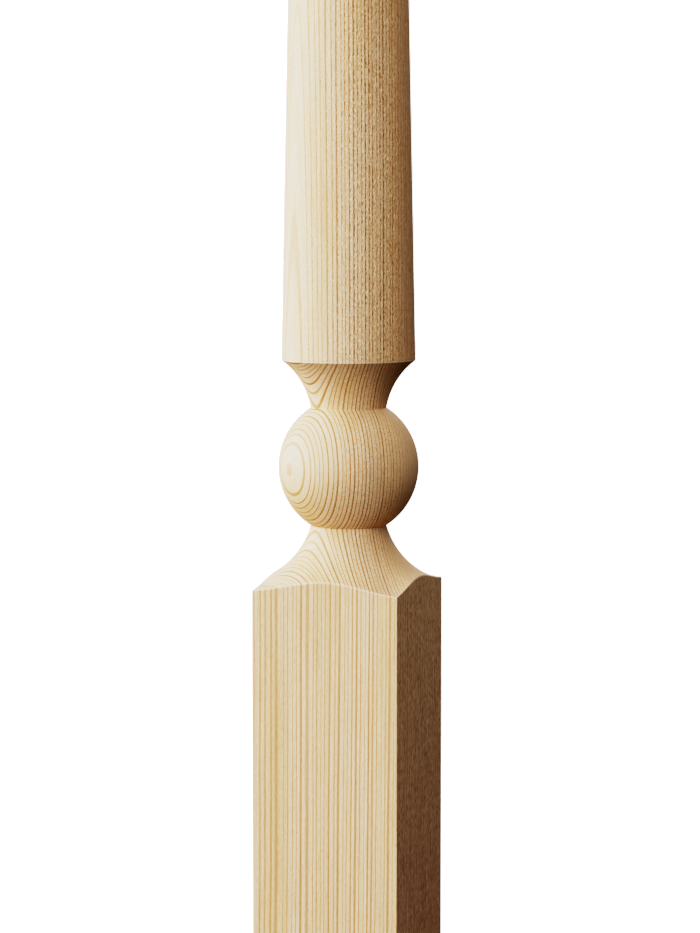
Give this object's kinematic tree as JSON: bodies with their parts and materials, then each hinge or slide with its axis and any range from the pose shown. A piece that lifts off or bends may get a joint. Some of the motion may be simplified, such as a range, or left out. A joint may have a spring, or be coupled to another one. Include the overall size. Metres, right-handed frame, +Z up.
{
  "type": "newel post",
  "caption": "Square softwood newel post turned between its blocks, with a ball under a tapered round shaft and concave shoulders.",
  "frame": {"origin": "centre of the square foot, on the floor", "axes": "+Z up the post's axis, X and Y square to the blocks' faces, the pictured bright face towards -Y"},
  "size_m": [0.089, 0.089, 1.15],
  "materials": {
    "pine": "sanded, unfinished"
  },
  "bodies": {
    "root": {"newel_post": "pine"}
  },
  "joints": []
}
